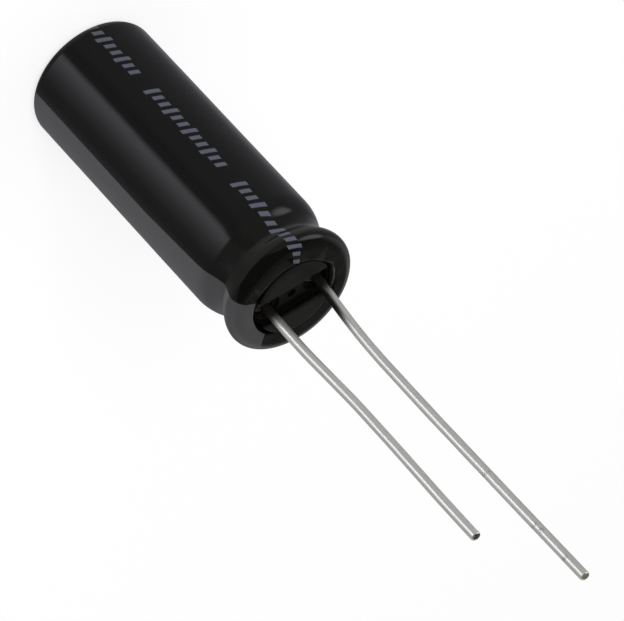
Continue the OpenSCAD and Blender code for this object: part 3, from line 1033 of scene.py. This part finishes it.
# What it shows above the horizon: a dim wall in front, and a paler one behind the part.
WALL_STOPS = (
    (around(-180), 0.7), (around(-120), 0.45), (around(-98), 0.6), (around(-84), 0.2),
    (around(-50), 0.2), (around(-18), 0.25), (around(2), 0.19), (around(20), 0.31),
    (around(50), 0.33), (around(105), 0.42), (around(122), 0.55), (around(155), 0.45),
    (around(180), 0.8),
)
# What it shows far below the horizon: the table, paler towards the lamp.
TABLE_STOPS = (
    (around(-180), 0.2), (around(-110), 0.17), (around(-70), 0.2), (around(-30), 0.31),
    (around(40), 0.37), (around(100), 0.44), (around(140), 0.26), (around(180), 0.2),
)
LAMP_TURN = 84.0
LAMP_RISE = 12.0
LAMP_WIDE = 22.0
LAMP_HIGH = 16.0
LAMP_SEEN = 2.1


def height_of(degrees):
    """The height of a direction that rises by an angle from the horizon."""
    return math.sin(math.radians(degrees))


def painted_room(tree, off_camera, height):
    """What gloss shows by direction: window, wall, ceiling and table."""
    place = calc(tree, "ADD", calc(tree, "DIVIDE", off_camera, 360.0), 0.5)
    window = blend_colours(tree, 1.0, ramp(tree, place, WINDOW_STOPS), (0.98, 0.99, 1.08, 1),
                           how="MULTIPLY")
    wall = ramp(tree, place, WALL_STOPS)
    behind = rise_to(tree, calc(tree, "ABSOLUTE", off_camera), 60.0, 130.0)
    ceiling = blend_colours(tree, behind, (0.01, 0.01, 0.01, 1), (0.12, 0.12, 0.12, 1))
    # The wall is lower in front than behind the part.
    wall_top = calc(tree, "MULTIPLY_ADD", behind, height_of(37) - height_of(25), height_of(25))
    above = blend_colours(tree, rise_to(tree, height, height_of(14), wall_top), wall, ceiling)
    room = blend_colours(tree, rise_to(tree, height, height_of(-6), height_of(3)), window, above)
    return blend_colours(tree, rise_to(tree, height, height_of(-39), height_of(-47)), room,
                         ramp(tree, place, TABLE_STOPS))


def lamp_spot(tree, off_camera, height):
    """1 inside the soft round patch where gloss shows the lamp."""
    rise = calc(tree, "DEGREES", calc(tree, "ARCSINE", height))
    aside = calc(tree, "DIVIDE", calc(tree, "SUBTRACT", off_camera, LAMP_TURN), LAMP_WIDE)
    above = calc(tree, "DIVIDE", calc(tree, "SUBTRACT", rise, LAMP_RISE), LAMP_HIGH)
    off_lamp = calc(tree, "SQRT", calc(tree, "ADD", calc(tree, "POWER", aside, 2.0),
                                       calc(tree, "POWER", above, 2.0)))
    return rise_to(tree, off_lamp, 1.2, 0.6)


def add_world():
    """Plain white light for matt surfaces, and a painted room for gloss to show."""
    world = bpy.data.worlds.new("pale_room")
    world.use_nodes = True
    scene.world = world
    tree = world.node_tree
    tree.nodes.clear()
    way = tree.nodes.new("ShaderNodeTexCoord").outputs["Generated"]
    parts = add_node(tree, "ShaderNodeSeparateXYZ", None, _0=way).outputs
    turn = calc(tree, "DEGREES", calc(tree, "ARCTAN2", parts[1], parts[0]))
    facing = math.degrees(VIEW_AZIMUTH) - 90
    off_camera = calc(tree, "WRAP", calc(tree, "SUBTRACT", facing, turn), 180.0, -180.0)
    room = painted_room(tree, off_camera, parts[2])
    room = blend_colours(tree, lamp_spot(tree, off_camera, parts[2]), room,
                         (LAMP_SEEN, LAMP_SEEN, LAMP_SEEN * 1.06, 1))
    path = tree.nodes.new("ShaderNodeLightPath")
    level = (WORLD_LEVEL, WORLD_LEVEL, WORLD_LEVEL, 1)
    seen = blend_colours(tree, path.outputs["Is Glossy Ray"], level, room)
    clear = calc(tree, "MAXIMUM", path.outputs["Is Camera Ray"],
                 path.outputs["Is Transmission Ray"])
    seen = blend_colours(tree, clear, seen, (1, 1, 1, 1))
    sky = add_node(tree, "ShaderNodeBackground", None, Color=seen, Strength=1.0)
    add_node(tree, "ShaderNodeOutputWorld", None, Surface=sky.outputs[0])


def add_lamp(name, place, aim, size, level):
    """A soft square lamp. level is how bright it makes a white surface that faces it."""
    data = bpy.data.lights.new(name, "AREA")
    data.shape = "SQUARE"
    data.size = size
    data.energy = level * math.pi ** 2 * (place - aim).length_squared
    lamp = bpy.data.objects.new(name, data)
    scene.collection.objects.link(lamp)
    lamp.location = place
    lamp.rotation_mode = "QUATERNION"
    lamp.rotation_quaternion = (aim - place).to_track_quat("-Z", "Y")
    lamp.visible_glossy = False


def dress(node_names, material):
    """Gives CAD nodes their finish."""
    for name in node_names:
        mesh = nodes[name].data
        mesh.materials.clear()
        mesh.materials.append(material)


# The scene

add_camera()
add_floor()
add_world()
add_lamp("key_lamp", KEY_PLACE, KEY_AIM, KEY_SIZE, KEY_LEVEL)

add_sleeve(sleeve_film())
add_bung(bung_rubber())
tin = tinned_wire()
add_lead("cathode_wire", "cathode_lead", CATHODE_ROUTE, 0.11, tin,
         wire_cut("short_wire_cut", (0.035, 0.022, 0.015, 1)))
add_lead("anode_wire", "anode_lead", ANODE_ROUTE, 0.12, tin,
         wire_cut("long_wire_cut", (0.2, 0.18, 0.12, 1)))

dress(["can"], drawn_metal("can_metal", (0.78, 0.79, 0.8, 1), (1, 1, 0.05), 0.3))
dress(["anode_weld", "cathode_weld"],
      drawn_metal("weld", (0.1, 0.095, 0.09, 1), (1, 1, 1), 0.6, 0.4, 0.4, 0.7))
dress(["anode_tab", "cathode_tab"],
      drawn_metal("tab_metal", (0.5, 0.5, 0.5, 1), (1, 1, 0.1), 0.5))
dress(["anode_foil"], matt_foil("etched_foil", (0.55, 0.56, 0.56, 1), 0.04, 0.6))
dress(["cathode_foil"], matt_foil("plain_foil", (0.7, 0.71, 0.72, 1), 0.08, 0.45))
dress(["inner_paper", "outer_paper"], separator_paper())
dress(["element_tape"], element_tape())
